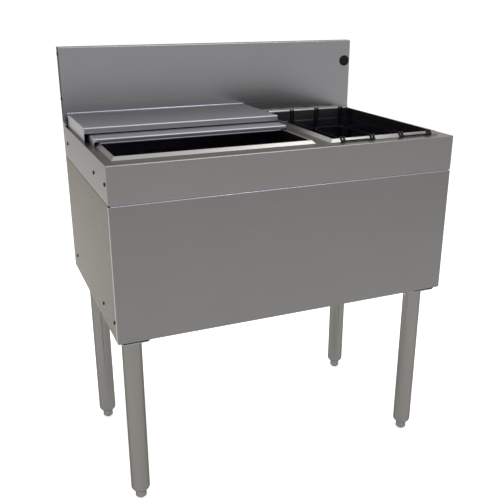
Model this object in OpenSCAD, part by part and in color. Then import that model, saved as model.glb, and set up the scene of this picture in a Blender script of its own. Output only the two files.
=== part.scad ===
// Underbar ice bin with a bottle well, a sliding cover and a backsplash, on four legs.
// Millimetres, Z up. The origin is on the floor under the middle of the body.

/* [Body] */
// Width of the body
body_w = 762; // [700:2:1000]
// Depth of the body, from its front face to its rear face
body_d = 482.6; // [470:0.2:560]
// Height of the deck above the floor
deck_z = 762; // [600:1:1000]
// Height of the body, from its underside to the deck
body_h = 355.6; // [350:0.2:450]
// Thickness of the stainless sheet
sheet_t = 1.2; // [0.8:0.1:1.4]
// Outside radius of the deck's front bend and of the two front corners
bend_r = 3; // [2:0.1:5]
// Height of the band round the deck, down to the seam
band_h = 74; // [65:1:100]
// Height of the open seam under the band
seam_gap = 1; // [0.6:0.1:2]
// Height of the joggle that sets the panels' laps behind the band
joggle_h = 2.4; // [2:0.1:5]
// Height of the laps behind the band
lap_h = 50; // [40:1:55]
// How far the front panel wraps round each front corner
wrap_d = 9; // [7:0.5:15]
// Depth of the front panel's side returns
front_return_d = 36; // [30:1:50]
// Depth of the rear panel's side returns
rear_return_d = 62; // [40:1:70]
// Height of the bottom pan's flanges
pan_flange_h = 50; // [45:1:60]
// Outside radius of the bottom pan's upright corners
pan_corner_r = 4; // [3.6:0.1:8]

/* [Backsplash] */
// Height of the backsplash above the deck
splash_h = 177.8; // [170:0.2:300]
// Thickness of the backsplash
splash_t = 25.4; // [24:0.2:40]
// Radius of the cove between deck and backsplash
cove_r = 8; // [4:0.5:9]
// Height of the lip that turns down at the backsplash's rear
splash_lip = 12; // [8:1:20]
// Depth of the back cover's side flanges
back_flange_d = 18; // [16:1:21]
// Height of the back cover's lower screws above the deck
splash_screw_low = 61; // [40:1:90]
// Distance of the back cover's upper screws from the backsplash's top
splash_screw_high = 15.8; // [14:0.1:30]
// Distance of those screws from the rear face
splash_screw_in = 10.6; // [8:0.2:13]

/* [Raised rims] */
// Width of a rim, from its foot to the wall of the opening
rim_w = 9; // [8:0.2:11]
// Radius of a rim's crest
rim_r = 1.6; // [1.5:0.1:2.2]
// Depth of the rim's inner leg, down to the weld with the liner
rim_leg = 20; // [15:1:30]

/* [Ice bin] */
// Distance from the body's left side to the foot of the bin's rim
bin_side = 19.3; // [18:0.1:24]
// Distance between the foot of the bin's rim and the foot of the well's rim
rim_space = 32.3; // [30.7:0.1:76]
// Distance from the front face to the foot of the bin's rim
bin_front = 39; // [36:0.5:44]
// Distance from the rear face to the foot of the bin's rim
bin_rear = 48.6; // [45.6:0.1:58.6]
// Height of the bin's floor above the body's underside
bin_over = 63.6; // [59.6:0.1:95]
// Radius of the liners' bottom bends
liner_r = 14; // [8:0.5:25]
// Thickness of the foam at the bin's walls
foam_t = 12.7; // [8:0.1:13]
// Thickness of the foam under the bin
foam_floor_t = 31; // [20:0.5:36]

/* [Bottle well] */
// Distance from the body's right side to the foot of the well's rim
well_side = 14; // [13:0.1:20]
// Width of the well over the feet of its rim
well_w = 272; // [268:0.2:274]
// Distance from the front face to the foot of the well's rim
well_front = 34; // [32:0.5:39]
// Distance from the rear face to the foot of the well's rim
well_rear = 48.6; // [45.6:0.1:58.6]
// Height of the well's floor above the body's underside
well_over = 93.6; // [65.6:0.1:105]

/* [Drains] */
// Outside radius of a drain's tailpiece
tail_r = 16.7; // [12:0.1:20]
// Bore radius of a drain's tailpiece
tail_bore_r = 13; // [9:0.1:14]
// How far a tailpiece stands out under the body
tail_out = 30; // [28:1:45]
// Outside radius of a tailpiece's plain end, for the hose
tail_end_r = 16; // [11:0.1:16.5]
// Length of a tailpiece's plain end
tail_end_l = 25; // [15:1:27]
// Radius of a drain's flange
flange_r = 28; // [26:0.5:32]
// Thickness of a drain's flange
flange_t = 3; // [2.8:0.1:5]
// Radius of the strainer's seat in the flange
seat_r = 21.3; // [21:0.1:24]
// Depth of the strainer's seat
seat_t = 1.8; // [1.6:0.1:2]
// Thickness of the strainer
strainer_t = 1.2; // [1:0.1:1.4]
// Radius of the strainer's holes
strainer_hole_r = 1.5; // [1:0.1:2]
// Distance between the strainer's rings of holes
strainer_ring = 5; // [4.2:0.1:5.6]
// Thickness of the rubber gasket
gasket_t = 2.5; // [2:0.1:4]
// Thickness of the locknut
locknut_t = 9; // [7:0.5:12]
// Radius of the locknut over its corners
locknut_r = 27; // [24:0.5:30]

/* [Rear cover] */
// How far the rear cover's left side stands outside the bin's rim
rear_cover_left = 12.8; // [12:0.1:13.2]
// Gap between the rear cover and the backsplash
rear_cover_gap = 2.2; // [2:0.1:5]
// How much of the front cover shows in front of the rear cover, as parked
front_cover_show = 54; // [53:0.5:66]
// Height of the rear cover's top above the deck
rear_cover_h = 28.5; // [27.9:0.1:34]
// Height of the rear cover's front lip
rear_cover_lip = 12.5; // [8:0.1:13]
// Height of the rear cover's rear lip
rear_cover_tail = 7; // [5:0.5:10]
// Distance that the rear cover's side flanges stop short of its rear edge
flange_short = 14; // [10:0.5:20]
// Outside radius of the covers' bends
cover_r = 2.6; // [2:0.1:3.5]

/* [Front cover] */
// How far the front cover's left side stands outside the bin's rim
front_cover_left = 2.8; // [2.6:0.1:3.8]
// How far the front cover's right side stands outside the bin's rim
front_cover_right = 6.5; // [2.6:0.1:9]
// Opening between the bin's front wall and the front cover's lip, as parked
front_cover_open = 141; // [100:0.5:150]
// Distance of the front cover's rear edge from the backsplash, as parked
front_cover_back = 53.2; // [43:0.1:63]
// Height of the front cover's top above the deck
front_cover_h = 14; // [13:0.1:14.4]
// Radius of the front cover's two front corners, seen from above
front_corner_r = 6; // [5:0.5:11.5]
// Height of the lip's lower edge above the deck
front_lip_z = 3; // [2:0.1:5]
// Radius of the hem along the lip's lower edge
hem_r = 1.5; // [1.3:0.1:2]
// Height of the rear lip
front_cover_tail = 5; // [4:0.1:5.5]

/* [Bottle racks] */
// Diameter of the coated wire
wire_d = 3; // [2.5:0.1:3.4]
// Distance between the two wires of a hanger
hairpin_w = 7; // [6:0.1:9]
// Distance of a hanger's middle from the side of the hoops
hanger_in = 11.5; // [9.5:0.1:15.5]
// Corner radius of the hoops
hoop_r = 20; // [12:0.5:25]
// Depth of the upper hoop under the deck
hoop_z = 45; // [35:1:60]
// Height of the racks' floor above the well's floor
rack_over = 72; // [42:1:112]
// Distance from the well's rim foot to the left rack's hoops
rack_left = 18.5; // [14.5:0.1:20]
// Distance from the well's rim foot to the right rack's hoops
rack_right = 14; // [12.5:0.1:20]
// Distance between the hoops of the two racks
rack_space = 49.5; // [42:0.5:56]
// Wires across the rack's floor
rack_floor_wires = 9; // [5:1:13]

/* [Legs and feet] */
// Distance of the legs' middles from the body's sides
leg_in_x = 37.4; // [36:0.1:60]
// Distance of the front legs' middles from the front face
leg_in_front = 51.1; // [40:0.1:80]
// Distance of the rear legs' middles from the rear face
leg_in_rear = 84.3; // [50:0.1:100]
// Outside diameter of the leg tubes
leg_d = 41.275; // [38:0.001:45]
// Wall of the leg tubes
leg_wall = 1.5; // [1.2:0.1:2.5]
// Width of the channel over the legs
channel_w = 60; // [55:1:66]
// Height of the channel
channel_h = 9.4; // [9:0.1:12]
// Thickness of the channel's steel
channel_t = 2; // [1.5:0.1:2.4]
// Corner bevel of the channel
channel_bevel = 4; // [3:0.1:5]
// Distance of the channel's ends from the body's front and rear
channel_in = 10; // [6:0.5:20]
// Height of the tube's lower end above the floor
tube_end_z = 30; // [25:0.5:40]
// Height of the socket's lower edge above the floor
socket_z = 20; // [19.5:0.5:22]
// Radius of the socket's round shoulder
shoulder_r = 11; // [10.6:0.1:12]
// Length of the socket inside the tube
socket_in = 66; // [60:1:80]
// Diameter of the foot's stem
foot_d = 24.4; // [22:0.1:27]
// Radius of the foot's flat
foot_flat_r = 8.2; // [6:0.1:10]
// Height of the foot's bevel
foot_bevel = 4; // [3:0.1:5]
// Length of the foot's stem
stem_l = 60; // [56:0.5:64]
// Diameter of the foot's stud
stud_d = 12; // [10:0.1:16]
// How far the foot can be screwed in from where it stands
foot_up = 10; // [5:0.5:11]
// How far the foot can be screwed out from where it stands
foot_down = 25; // [10:0.5:30]
// Length of the spigot in the tube's upper end
spigot_l = 45; // [35:1:60]

/* [Hose hole plug] */
// Distance of the plug's middle from the body's right side
plug_in = 16; // [15:0.1:25]
// Height of the plug's middle above the deck
plug_z = 125.7; // [100:0.1:150]
// Diameter of the plug's flange
plug_d = 27; // [24:0.1:27.5]
// Diameter of the hole in the backsplash
plug_hole_d = 22; // [18:0.1:22.5]
// Thickness of the plug's flange
plug_t = 2.6; // [2:0.1:4]

/* [Fasteners] */
// Distance of the front side screws from the front face
side_screw_front = 21; // [19:0.5:28]
// Distance of the middle side screws from the front face
side_screw_middle = 123; // [60:1:200]
// Distance of the rear side screws from the rear face
side_screw_rear = 48.6; // [40:0.1:55]
// Depth of the upper row of side screws under the deck
upper_screw_z = 38; // [35:0.5:45]
// Height of the lower row of side screws above the underside
lower_screw_z = 39; // [30:0.5:40]
// Radius of a side screw's shank
screw_r = 2.1; // [1.8:0.1:2.4]
// Radius of a side screw's head
screw_head_r = 3.9; // [3.4:0.1:4.5]
// Height of a side screw's head
screw_head_h = 1.5; // [1.2:0.1:2]
// Length of a side screw's shank
screw_l = 9; // [7:0.5:10]
// Radius of the frame bolts' shanks
bolt_r = 4; // [3:0.1:5]
// Radius of the frame bolts' heads over the corners
bolt_head_r = 7.5; // [6.5:0.1:9]
// Height of the frame bolts' heads
bolt_head_h = 4.6; // [4:0.1:5]
// Thickness of the frame bolts' nuts
bolt_nut_h = 6; // [5:0.1:8]
// Radius of the leg set screws
set_screw_r = 3; // [2.5:0.1:4]

/* [Hidden] */
$fn = 48;

// How far a cut runs past what it cuts
over = 1;
// Gap between the front cover's right side and the rear cover over it
cover_gap = 1.3;
// Gap under a piece that lies loose, and beside a loose piece in its seat
rest_gap = 0.3;
// Radial clearance of the feet in their sockets
foot_gap = 0.08;
// Radial clearance of screws, bolts and plugs in their holes
hole_gap = 0.2;
// Distance of the flanges and returns from each other where they pass
pass_gap = 1.5;
// Clearance of a drain's parts in the foam and in the pan
drain_gap = 4;
// Straight pieces in a quarter turn of a drawn bend
bend_steps = 8;
// Depth of a screw's cross recess
recess_d = 0.9;
// Width of the recess's slots
recess_w = 1;
// How deep a wire sinks into the wire that it is welded to
weld = 0.3;
// How much thicker the coating is on a wire's bends and on the outer bars
bead = 0.1;
// Depth of the spigot's threaded hole
thread_l = 25;
// Distance of a set screw from the spigot's top
set_screw_in = 22;
// Length of a set screw
set_screw_l = 8;
// Distance of the channel's bolts from the legs' middles
channel_bolt_in = 45;
// How far a bolt stands through its nut
bolt_end = 2;
// Radii of the rings moulded on the hose hole plug
plug_ring_r = [4.5, 8.5];
// Width of a ring
plug_ring_w = 1.2;
// Height of a ring
plug_ring_h = 0.6;
// How far the plug's bead stands out past the hole's edge
plug_snap_h = 0.15;
// Depth of the plug's skirt behind the sheet
plug_skirt = 6;
// Wall of the skirt
plug_wall = 2;

// Front of the backsplash
splash_y = body_d - splash_t;
// Heights of the back cover's screws
splash_screw_z = [splash_screw_low, splash_h - splash_screw_high];
// Places of the side screws from the front face
side_screw_y = [side_screw_front, side_screw_middle, body_d - side_screw_rear];
// Lower edge of the open seam
seam_z = -band_h - seam_gap;
// Lower and upper end of the panels' returns
return_z0 = -body_h + pan_flange_h + pass_gap;
return_z1 = seam_z - joggle_h - pass_gap;
// Height of a rim's crest above the deck
rim_top = rim_w - rim_r * sqrt(2);
// Left foot of the well's rim
well_x = body_w - well_side - well_w;
// Width and length of the bin over the feet of its rim, and its depth under the deck
bin_w = well_x - rim_space - bin_side;
bin_l = body_d - bin_front - bin_rear;
bin_h = body_h - bin_over;
// Length of the well over the feet of its rim, and its depth under the deck
well_l = body_d - well_front - well_rear;
well_h = body_h - well_over;
// Width of a rack's hoops over the wires' middles
hoop_w = (well_w - rack_left - rack_space - rack_right) / 2;
// Distance from the well's rim foot to the left rack's middle, and between the racks' middles
rack_in = rack_left + hoop_w / 2;
rack_pitch = hoop_w + rack_space;
// Depth of the racks' floor under the deck
rack_h = well_h - rack_over;
// Distance between the two hangers at one end of a rack
hanger_pitch = hoop_w - 2 * hanger_in;
// Left side, width, front and length of the front cover
front_cover_x = bin_side - front_cover_left;
front_cover_w = bin_w + front_cover_left + front_cover_right;
front_cover_y = bin_front + rim_w + front_cover_open;
front_cover_l = splash_y - front_cover_back - front_cover_y;
// Left side, width, front and length of the rear cover
rear_cover_x = bin_side - rear_cover_left;
rear_cover_w = bin_w + rear_cover_left + front_cover_right + cover_gap + sheet_t;
rear_cover_y = front_cover_y + front_cover_show;
rear_cover_l = splash_y - rear_cover_gap - rear_cover_y;
// Top of the leg channels, above the floor
channel_z = deck_z - body_h;
// Top of the legs, above the floor
leg_top = channel_z - channel_h;
// Length of a foot's stud
stud_l = foot_up + foot_down + pass_gap * 4;
// Upper end of the socket's bore for the foot's stem
stem_bore_z = stem_l + foot_up + pass_gap;

// Points of an arc about [x, y]
function arc(x, y, r, a0, a1, n = bend_steps) =
    [for (i = [0 : n]) [x + r * cos(a0 + (a1 - a0) * i / n), y + r * sin(a0 + (a1 - a0) * i / n)]];
// Left normal of the piece from a to b
function normal(a, b) = [a[1] - b[1], b[0] - a[0]] / norm(b - a);
// Point i of a path, moved sideways by t, with mitred corners
function beside(p, i, t) =
    let (n0 = i > 0 ? normal(p[i - 1], p[i]) : normal(p[0], p[1]))
    let (n1 = i < len(p) - 1 ? normal(p[i], p[i + 1]) : n0)
    let (m = n0 + n1)
    p[i] + m * 2 * t / (m * m);

// Section of a bent sheet: its outer line, and t to the left of it
module strip(p, t) {
    polygon(concat(p, [for (i = [len(p) - 1 : -1 : 0]) beside(p, i, t)]));
}

// Extrudes a section drawn in Y and Z along X
module along_x(l) {
    rotate([90, 0, 90]) linear_extrude(l) children();
}

// Extrudes a section drawn in X and Z along Y
module along_y(l) {
    translate([0, l, 0]) rotate([90, 0, 0]) linear_extrude(l) children();
}

// Moves to the deck's height over the body's front left corner
module at_deck() {
    translate([-body_w / 2, -body_d / 2, deck_z]) children();
}

// Mirrors a copy about the body's middle
module both_sides() {
    children();
    translate([body_w, 0, 0]) mirror([1, 0, 0]) children();
}

// Rectangle with round corners
module round_rect(w, d, r) {
    translate([r, 0]) square([w - 2 * r, d]);
    translate([0, r]) square([w, d - 2 * r]);
    for (x = [r, w - r], y = [r, d - r]) translate([x, y]) circle(r);
}

// Rectangle from a to b with two round corners, at its lower side or its upper side
module round_pair(a, b, r, upper) {
    z = upper ? b[1] - r : a[1] + r;
    translate([a[0], upper ? a[1] : z]) square([b[0] - a[0], b[1] - a[1] - r]);
    translate([a[0] + r, a[1]]) square([b[0] - a[0] - 2 * r, b[1] - a[1]]);
    for (x = [a[0] + r, b[0] - r]) translate([x, z]) circle(r);
}

// Block from a to b whose four lower edges are round, as a formed tub
module tub_block(a, b, r) {
    intersection() {
        translate([0, a[1], 0]) along_y(b[1] - a[1])
            round_pair([a[0], a[2]], [b[0], b[2]], r, false);
        translate([a[0], 0, 0]) along_x(b[0] - a[0])
            round_pair([a[1], a[2]], [b[1], b[2]], r, false);
    }
}

// Block from a to b whose four upper edges are round, with round front corners seen from above
module cover_block(a, b, r, front_r) {
    intersection() {
        translate([0, a[1], 0]) along_y(b[1] - a[1])
            round_pair([a[0], a[2]], [b[0], b[2]], r, true);
        translate([a[0], 0, 0]) along_x(b[0] - a[0])
            round_pair([a[1], a[2]], [b[1], b[2]], r, true);
        translate([0, 0, a[2]]) linear_extrude(b[2] - a[2])
            round_pair([a[0], a[1]], [b[0], b[1]], front_r, false);
    }
}

// Plan of the body with its round front corners, inset from the outside
module body_plan(inset, rear) {
    round_pair([inset, inset], [body_w - inset, rear], bend_r - inset, false);
}

// Block over an opening of w by l whose four sides all follow the profile half
module crossed(w, l, half) {
    m = sheet_t + over;
    intersection() {
        translate([-m, 0, 0]) along_x(w + 2 * m)
            polygon(concat(half, [for (i = [len(half) - 1 : -1 : 0]) [l - half[i][0], half[i][1]]]));
        translate([0, -m, 0]) along_y(l + 2 * m)
            polygon(concat(half, [for (i = [len(half) - 1 : -1 : 0]) [w - half[i][0], half[i][1]]]));
    }
}

// Raised rim round an opening: a slope, a round crest and an inner leg, all of one sheet
module rim(w, l) {
    x = rim_w - rim_r;
    z = rim_w - rim_r * (1 + sqrt(2));
    in_r = rim_r - sheet_t;
    foot = sheet_t * (sqrt(2) - 1);
    leg = rim_w - sheet_t;
    difference() {
        union() {
            crossed(w, l, concat([[-sheet_t, -sheet_t], [-sheet_t, 0], [0, 0]],
                arc(x, z, rim_r, 135, 90)));
            translate([leg, leg, -rim_leg]) cube([w - 2 * leg, l - 2 * leg, rim_leg + z]);
        }
        difference() {
            crossed(w, l, concat([[foot, -sheet_t - over], [foot, -sheet_t]],
                arc(x, z, in_r, 135, 90)));
            crossed(w, l, concat([[leg, -rim_leg - over]], arc(x, z, in_r, 0, 90),
                [[x, rim_w]]));
        }
        crossed(w, l, concat([[rim_w, -rim_leg - over]], arc(x, z, rim_r, 0, 90), [[x, rim_w]]));
    }
}

// Holes for the side screws of one row, through the left wall
module side_holes(z) {
    for (y = side_screw_y) translate([-over, y, z]) rotate([0, 90, 0])
        cylinder(r = screw_r + hole_gap, h = 4 * sheet_t + over);
}

// Holes for the back cover's screws, through the left wall
module splash_holes() {
    for (z = splash_screw_z) translate([-over, body_d - splash_screw_in, z]) rotate([0, 90, 0])
        cylinder(r = screw_r + hole_gap, h = 4 * sheet_t + over);
}

// Deck, band, cove and raised rims
module work_top() {
    outer = concat([[0, -band_h]], arc(bend_r, -bend_r, bend_r, 180, 90),
        arc(splash_y - cove_r, cove_r, cove_r, -90, 0), [[body_d, cove_r], [body_d, -band_h]]);
    inner = concat([[sheet_t, -band_h - over]], arc(bend_r, -bend_r, bend_r - sheet_t, 180, 90),
        arc(splash_y - cove_r, cove_r, cove_r + sheet_t, -90, 0),
        [[splash_y + sheet_t, cove_r + over], [body_d + over, cove_r + over],
        [body_d + over, -band_h - over]]);
    color([0.47, 0.47, 0.47]) at_deck() {
        difference() {
            intersection() {
                along_x(body_w) polygon(outer);
                translate([0, 0, -band_h - over]) linear_extrude(band_h + cove_r + 2 * over)
                    body_plan(0, body_d + over);
            }
            intersection() {
                translate([sheet_t, 0, 0]) along_x(body_w - 2 * sheet_t) polygon(inner);
                translate([0, 0, -band_h - 2 * over]) linear_extrude(band_h + cove_r + 4 * over)
                    body_plan(sheet_t, body_d + 2 * over);
            }
            translate([bin_side, bin_front, -sheet_t - over])
                cube([bin_w, bin_l, sheet_t + 2 * over]);
            translate([well_x, well_front, -sheet_t - over])
                cube([well_w, well_l, sheet_t + 2 * over]);
            both_sides() side_holes(-upper_screw_z);
        }
        translate([bin_side, bin_front, 0]) rim(bin_w, bin_l);
        translate([well_x, well_front, 0]) rim(well_w, well_l);
    }
}

// Face, top and returns of the backsplash, open to the rear
module backsplash() {
    outer = concat([[splash_y, cove_r]],
        arc(splash_y + bend_r, splash_h - bend_r, bend_r, 180, 90),
        [[body_d, splash_h], [body_d, cove_r]]);
    inner = concat([[splash_y + sheet_t, cove_r - over]],
        arc(splash_y + bend_r, splash_h - bend_r, bend_r - sheet_t, 180, 90),
        [[body_d - sheet_t, splash_h - sheet_t], [body_d - sheet_t, splash_h - splash_lip],
        [body_d + over, splash_h - splash_lip], [body_d + over, cove_r - over]]);
    color([0.48, 0.48, 0.48]) at_deck() difference() {
        along_x(body_w) polygon(outer);
        translate([sheet_t, 0, 0]) along_x(body_w - 2 * sheet_t) polygon(inner);
        translate([body_w - plug_in, splash_y - over, plug_z]) rotate([-90, 0, 0])
            cylinder(d = plug_hole_d, h = sheet_t + 2 * over);
        both_sides() splash_holes();
    }
}

// Closing cover at the rear of the backsplash, with a flange at each side
module backsplash_cover() {
    color([0.5, 0.5, 0.5]) at_deck() difference() {
        union() {
            translate([sheet_t, body_d - sheet_t, -band_h])
                cube([body_w - 2 * sheet_t, sheet_t, band_h + splash_h - splash_lip]);
            both_sides() translate([sheet_t, body_d - back_flange_d, cove_r])
                cube([sheet_t, back_flange_d, splash_h - splash_lip - cove_r]);
        }
        both_sides() splash_holes();
    }
}

// Front panel with wrapped corners, side returns and a joggled lap
module front_panel() {
    plan = concat([[0, wrap_d]], arc(bend_r, bend_r, bend_r, 180, 270),
        arc(body_w - bend_r, bend_r, bend_r, 270, 360), [[body_w, wrap_d]]);
    lap = [[0, seam_z - joggle_h - lap_h / 2], [0, seam_z - joggle_h], [sheet_t, seam_z],
        [sheet_t, seam_z + lap_h]];
    color([0.46, 0.46, 0.46]) at_deck() {
        translate([0, 0, -body_h]) linear_extrude(body_h + seam_z - joggle_h)
            strip(plan, sheet_t);
        translate([bend_r + sheet_t, 0, 0]) along_x(body_w - 2 * bend_r - 2 * sheet_t)
            strip(lap, -sheet_t);
        both_sides() translate([sheet_t, bend_r, return_z0])
            cube([sheet_t, front_return_d - bend_r, return_z1 - return_z0]);
    }
}

// Left side panel with its joggled lap and screw holes
module left_panel_shape() {
    line = [[0, -body_h], [0, seam_z - joggle_h], [sheet_t, seam_z], [sheet_t, seam_z + lap_h]];
    difference() {
        translate([0, wrap_d, 0]) along_y(body_d - sheet_t - wrap_d) strip(line, -sheet_t);
        side_holes(-upper_screw_z);
        side_holes(-body_h + lower_screw_z);
    }
}

module left_side_panel() {
    color([0.55, 0.55, 0.52]) at_deck() left_panel_shape();
}

module right_side_panel() {
    color([0.55, 0.55, 0.52]) at_deck()
        translate([body_w, 0, 0]) mirror([1, 0, 0]) left_panel_shape();
}

// Rear panel of the body with its side returns
module rear_panel() {
    color([0.5, 0.5, 0.5]) at_deck() {
        translate([0, body_d - sheet_t, -body_h]) cube([body_w, sheet_t, body_h + seam_z]);
        both_sides() translate([sheet_t, body_d - rear_return_d, return_z0])
            cube([sheet_t, rear_return_d, return_z1 - return_z0]);
    }
}

// Middle of the bin and of the well, seen from above
module at_bin() {
    translate([bin_side + bin_w / 2, bin_front + bin_l / 2, 0]) children();
}

module at_well() {
    translate([well_x + well_w / 2, well_front + well_l / 2, 0]) children();
}

// Places along one channel where it is bolted to the pan
module at_channel_bolts() {
    for (y = [leg_in_front + channel_bolt_in, body_d - leg_in_rear - channel_bolt_in])
        translate([leg_in_x, y, -body_h]) children();
}

// Bottom pan with an upright flange all round
module bottom_pan() {
    w = body_w - 2 * sheet_t;
    d = body_d - 2 * sheet_t;
    color([0.5, 0.5, 0.5]) at_deck() difference() {
        translate([sheet_t, sheet_t, -body_h]) linear_extrude(pan_flange_h)
            round_rect(w, d, pan_corner_r);
        translate([2 * sheet_t, 2 * sheet_t, -body_h + sheet_t]) linear_extrude(pan_flange_h)
            round_rect(w - 2 * sheet_t, d - 2 * sheet_t, pan_corner_r - sheet_t);
        at_bin() translate([0, 0, -body_h - over])
            cylinder(r = tail_r + drain_gap, h = sheet_t + 2 * over);
        at_well() translate([0, 0, -body_h - over])
            cylinder(r = tail_r + drain_gap, h = sheet_t + 2 * over);
        both_sides() side_holes(-body_h + lower_screw_z);
        both_sides() at_channel_bolts() translate([0, 0, -over])
            cylinder(r = bolt_r + hole_gap, h = sheet_t + 2 * over);
    }
}

// Formed liner under a rim of the given size, h deep under the deck
module liner(w, l, h) {
    inside = [rim_w, rim_w, -h];
    difference() {
        tub_block(inside - [sheet_t, sheet_t, sheet_t],
            [w - rim_w + sheet_t, l - rim_w + sheet_t, -rim_leg], liner_r + sheet_t);
        tub_block(inside, [w - rim_w, l - rim_w, -rim_leg + over], liner_r);
        translate([w / 2, l / 2, -h - 2 * over - sheet_t])
            cylinder(r = tail_r + hole_gap, h = sheet_t + 4 * over);
    }
}

module ice_bin_liner() {
    color([0.4, 0.4, 0.42]) at_deck() translate([bin_side, bin_front, 0])
        liner(bin_w, bin_l, bin_h);
}

module bottle_well_liner() {
    color([0.4, 0.4, 0.42]) at_deck() translate([well_x, well_front, 0])
        liner(well_w, well_l, well_h);
}

// Foam shell round the ice bin, open for the drain
module ice_bin_foam() {
    wall = rim_w - sheet_t;
    color([0.9, 0.85, 0.6]) at_deck() difference() {
        translate([bin_side + wall - foam_t, bin_front + wall - foam_t, 0])
            tub_block([0, 0, -bin_h - sheet_t - foam_floor_t],
                [bin_w - 2 * wall + 2 * foam_t, bin_l - 2 * wall + 2 * foam_t, -rim_leg],
                liner_r + sheet_t);
        translate([bin_side, bin_front, 0])
            tub_block([wall, wall, -bin_h - sheet_t], [bin_w - wall, bin_l - wall, over],
                liner_r + sheet_t);
        at_bin() translate([0, 0, -bin_h - sheet_t - foam_floor_t - over])
            cylinder(r = flange_r + drain_gap, h = foam_floor_t + 2 * over);
    }
}

// Drain flange, strainer seat and tailpiece, l long under the liner's floor
module drain_body(l) {
    difference() {
        union() {
            cylinder(r = flange_r, h = flange_t);
            translate([0, 0, tail_end_l - l]) cylinder(r = tail_r, h = l - tail_end_l);
            translate([0, 0, -l]) cylinder(r = tail_end_r, h = tail_end_l);
        }
        translate([0, 0, flange_t - seat_t]) cylinder(r = seat_r, h = seat_t + over);
        translate([0, 0, -l - over]) cylinder(r = tail_bore_r, h = l + flange_t + 2 * over);
    }
}

module drain_gasket() {
    translate([0, 0, -sheet_t - gasket_t]) difference() {
        cylinder(r = locknut_r - gasket_t, h = gasket_t);
        translate([0, 0, -over]) cylinder(r = tail_r + hole_gap, h = gasket_t + 2 * over);
    }
}

module drain_locknut() {
    translate([0, 0, -sheet_t - gasket_t - locknut_t]) difference() {
        cylinder(r = locknut_r, h = locknut_t, $fn = 6);
        translate([0, 0, -over]) cylinder(r = tail_r + hole_gap / 4, h = locknut_t + 2 * over);
    }
}

// Lift-out strainer in the drain's seat, with two rings of holes round a middle one
module drain_strainer() {
    translate([0, 0, flange_t - seat_t + rest_gap]) difference() {
        cylinder(r = seat_r - rest_gap, h = strainer_t);
        for (ring = [0 : 2], i = [0 : max(0, 6 * ring - 1)])
            rotate([0, 0, 60 * i / max(1, ring)])
                translate([ring * strainer_ring, 0, -over])
                    cylinder(r = strainer_hole_r, h = strainer_t + 2 * over, $fn = 24);
    }
}

module at_bin_floor() {
    at_deck() at_bin() translate([0, 0, -bin_h]) children();
}

module at_well_floor() {
    at_deck() at_well() translate([0, 0, -well_h]) children();
}

module ice_drain_body() {
    color("silver") at_bin_floor() drain_body(body_h - bin_h + tail_out);
}

module ice_drain_gasket() {
    color([0.1, 0.1, 0.1]) at_bin_floor() drain_gasket();
}

module ice_drain_locknut() {
    color("silver") at_bin_floor() drain_locknut();
}

module ice_drain_strainer() {
    color("silver") at_bin_floor() drain_strainer();
}

module well_drain_body() {
    color("silver") at_well_floor() drain_body(body_h - well_h + tail_out);
}

module well_drain_gasket() {
    color([0.1, 0.1, 0.1]) at_well_floor() drain_gasket();
}

module well_drain_locknut() {
    color("silver") at_well_floor() drain_locknut();
}

module well_drain_strainer() {
    color("silver") at_well_floor() drain_strainer();
}

// Fixed rear cover: top, short lips and side flanges that stand on the deck
module rear_cover() {
    a = [rear_cover_x, rear_cover_y, rest_gap];
    b = [rear_cover_x + rear_cover_w, rear_cover_y + rear_cover_l, rear_cover_h];
    wall = [sheet_t, sheet_t, over];
    color([0.45, 0.45, 0.46]) at_deck() difference() {
        cover_block(a, b, cover_r, cover_r);
        cover_block(a + [sheet_t, sheet_t, -over], b - [sheet_t, sheet_t, sheet_t],
            cover_r - sheet_t, cover_r - sheet_t);
        translate(a + [sheet_t, -over, -over])
            cube([rear_cover_w - 2 * sheet_t, sheet_t + cover_r + over,
                rear_cover_h - rest_gap - rear_cover_lip + over]);
        translate([a[0] - over, b[1] - flange_short, -over])
            cube([rear_cover_w + 2 * over, flange_short + over,
                rear_cover_h - rear_cover_tail + over]);
    }
}

// Sliding front cover: its side flanges run outside the bin's rim, its lip hangs inside it
module front_cover() {
    a = [front_cover_x, front_cover_y, rest_gap];
    b = [front_cover_x + front_cover_w, front_cover_y + front_cover_l, front_cover_h];
    lip_x0 = bin_side + rim_w + 2 * rest_gap;
    lip_x1 = bin_side + bin_w - rim_w - 2 * rest_gap;
    clear_z = rim_top + 2 * rest_gap;
    color([0.45, 0.45, 0.46]) at_deck() {
        difference() {
            cover_block(a, b, cover_r, front_corner_r);
            cover_block(a + [sheet_t, sheet_t, -over], b - [sheet_t, sheet_t, sheet_t],
                cover_r - sheet_t, front_corner_r - sheet_t);
            translate([a[0] + sheet_t, a[1] - over, -over])
                cube([lip_x0 - a[0] - sheet_t, front_corner_r + over, clear_z + over]);
            translate([lip_x1, a[1] - over, -over])
                cube([b[0] - sheet_t - lip_x1, front_corner_r + over, clear_z + over]);
            translate([a[0] + sheet_t, a[1] - over, -over])
                cube([front_cover_w - 2 * sheet_t, front_corner_r + over, front_lip_z + over]);
            translate([a[0] + sheet_t, b[1] - cover_r - sheet_t, -over])
                cube([front_cover_w - 2 * sheet_t, cover_r + sheet_t + over,
                    front_cover_h - front_cover_tail + over]);
        }
        translate([lip_x0, a[1] + hem_r, front_lip_z + hem_r]) rotate([0, 90, 0])
            cylinder(r = hem_r, h = lip_x1 - lip_x0);
    }
}

// Places of the hangers' wires across a rack
function wire_places() =
    [for (hanger = [-1, 1], wire = [-1, 1]) (hanger * hanger_pitch + wire * hairpin_w) / 2];

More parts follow.
